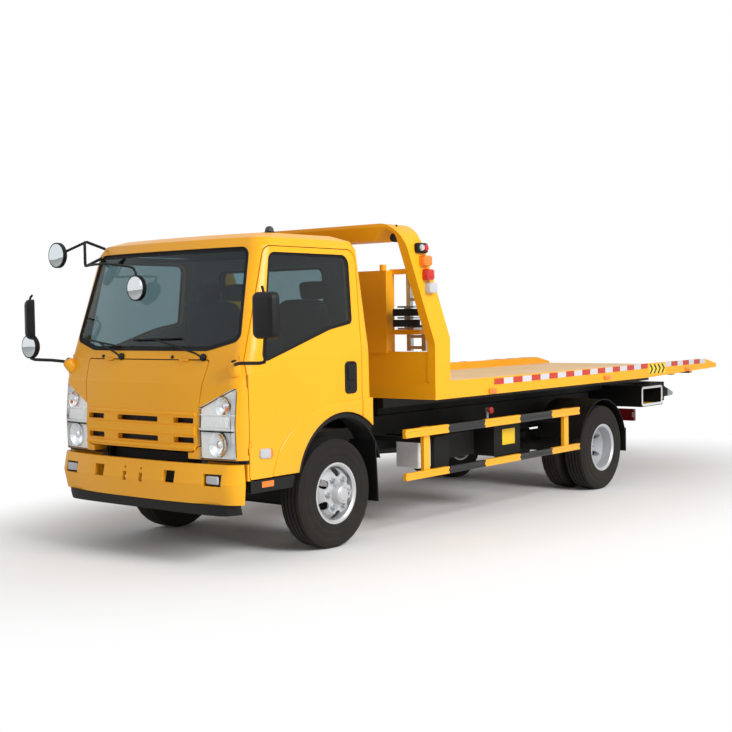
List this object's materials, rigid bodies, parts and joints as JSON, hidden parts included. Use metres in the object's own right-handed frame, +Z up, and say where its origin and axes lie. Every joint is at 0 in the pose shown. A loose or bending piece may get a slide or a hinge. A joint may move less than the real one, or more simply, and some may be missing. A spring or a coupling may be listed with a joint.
{
  "type": "flatbed recovery truck",
  "caption": "Cab-over flatbed recovery truck with sliding tilting bed, headboard arch, underlift, side guards, hinged doors, tilting cab and steered front wheels.",
  "frame": {"origin": "on the ground at the middle of the overall length and width", "axes": "+X forward, +Y to the vehicle's left, +Z up"},
  "size_m": [7.548, 2.7292, 2.4099],
  "materials": {
    "paint": "satin",
    "guard_paint": "satin",
    "chassis": "satin",
    "engine": "matte",
    "fuel_tank": "satin",
    "black_plastic": "matte",
    "glass": "gloss",
    "lamp_lens": "gloss",
    "tail_lens": "gloss",
    "marker_lens": "gloss",
    "interior": "matte",
    "seat_fabric": "matte",
    "tyre": "matte",
    "rim": "satin",
    "deck": "dusty satin",
    "bare_metal": "satin"
  },
  "bodies": {
    "chassis": {"chassis_frame": "chassis", "front_axle": "chassis", "leaf_springs": "chassis", "driveline": "chassis", "engine_block": "engine", "fuel_tank": "fuel_tank", "side_boxes": "black_plastic", "side_guards": "guard_paint", "bumper": "paint", "fog_lamps": "lamp_lens", "air_dam": "black_plastic", "cab_steps": "black_plastic", "mudguards": "black_plastic", "tail_lamps": "tail_lens"},
    "cab": {"cab_roof": "paint", "cab_back": "paint", "cab_floor": "paint", "cab_front": "paint", "cab_glass": "glass", "headlamps": "lamp_lens", "arch_liners": "black_plastic", "dashboard": "interior", "seats": "seat_fabric", "steering_wheel": "interior", "mirrors": "black_plastic"},
    "front_lid": {"front_panel": "paint"},
    "left_door": {"door_left": "paint", "door_glass_left": "glass"},
    "right_door": {"door_right": "paint", "door_glass_right": "glass"},
    "left_knuckle": {"knuckle_left": "chassis"},
    "right_knuckle": {"knuckle_right": "chassis"},
    "steering_link": {"tie_rod": "chassis"},
    "front_wheel_left": {"front_tyre_left": "tyre", "front_rim_left": "rim"},
    "front_wheel_right": {"front_tyre_right": "tyre", "front_rim_right": "rim"},
    "rear_wheels_left": {"rear_tyres_left": "tyre", "rear_rims_left": "rim"},
    "rear_wheels_right": {"rear_tyres_right": "tyre", "rear_rims_right": "rim"},
    "tilt_subframe": {"tilt_frame": "chassis"},
    "bed": {"bed_frame": "paint", "bed_deck": "deck", "headboard_posts": "paint", "headboard_top": "paint", "headboard_panel": "paint", "dolly_frames": "bare_metal", "dolly_tyres": "tyre", "arch_lamps": "marker_lens", "winch": "chassis"},
    "underlift": {"underlift_boom": "chassis"},
    "underlift_stinger": {"underlift_head": "chassis"}
  },
  "joints": [
    {"name": "cab_tilt", "type": "hinge", "parent": "chassis", "child": "cab", "pos_m": [3.609, 0, 0.845], "axis": [0, 1, 0], "range_deg": [0, 45]},
    {"name": "front_lid_hinge", "type": "hinge", "parent": "cab", "child": "front_lid", "pos_m": [3.64, 0, 1.415], "axis": [0, -1, 0], "range_deg": [0, 60]},
    {"name": "left_door_hinge", "type": "hinge", "parent": "cab", "child": "left_door", "pos_m": [3.553, 0.958, 1], "axis": [0, 0, -1], "range_deg": [0, 70]},
    {"name": "right_door_hinge", "type": "hinge", "parent": "cab", "child": "right_door", "pos_m": [3.553, -0.958, 1], "axis": [0, 0, 1], "range_deg": [0, 70]},
    {"name": "left_steer", "type": "hinge", "parent": "chassis", "child": "left_knuckle", "pos_m": [2.624, 0.7, 0.405], "axis": [0, 0, 1], "range_deg": [-32, 32]},
    {"name": "right_steer", "type": "hinge", "parent": "chassis", "child": "right_knuckle", "pos_m": [2.624, -0.7, 0.405], "axis": [0, 0, 1], "range_deg": [-32, 32]},
    {"name": "steering_link_pivot", "type": "hinge", "parent": "left_knuckle", "child": "steering_link", "pos_m": [2.434, 0.655, 0.246], "axis": [0, 0, 1], "range_deg": [-32, 32]},
    {"name": "front_wheel_left_spin", "type": "hinge", "parent": "left_knuckle", "child": "front_wheel_left", "pos_m": [2.624, 0.824, 0.405], "axis": [0, 1, 0], "continuous": true},
    {"name": "front_wheel_right_spin", "type": "hinge", "parent": "right_knuckle", "child": "front_wheel_right", "pos_m": [2.624, -0.824, 0.405], "axis": [0, 1, 0], "continuous": true},
    {"name": "rear_wheels_left_spin", "type": "hinge", "parent": "chassis", "child": "rear_wheels_left", "pos_m": [-1.191, 0.829, 0.405], "axis": [0, 1, 0], "continuous": true},
    {"name": "rear_wheels_right_spin", "type": "hinge", "parent": "chassis", "child": "rear_wheels_right", "pos_m": [-1.191, -0.829, 0.405], "axis": [0, 1, 0], "continuous": true},
    {"name": "bed_tilt", "type": "hinge", "parent": "chassis", "child": "tilt_subframe", "pos_m": [-2.076, 0, 0.83], "axis": [0, -1, 0], "range_deg": [0, 13]},
    {"name": "bed_slide", "type": "slide", "parent": "tilt_subframe", "child": "bed", "axis": [-1, 0, 0], "range_m": [0, 2.8]},
    {"name": "underlift_lower", "type": "hinge", "parent": "tilt_subframe", "child": "underlift", "pos_m": [-2.256, 0, 0.85], "axis": [0, 1, 0], "range_deg": [-12, 0]},
    {"name": "underlift_extend", "type": "slide", "parent": "underlift", "child": "underlift_stinger", "axis": [1, 0, 0], "range_m": [-0.5, 0]}
  ],
  "couplings": [
    {"joint": "right_steer", "follows": "left_steer", "ratio": 1},
    {"joint": "steering_link_pivot", "follows": "left_steer", "ratio": -1}
  ]
}
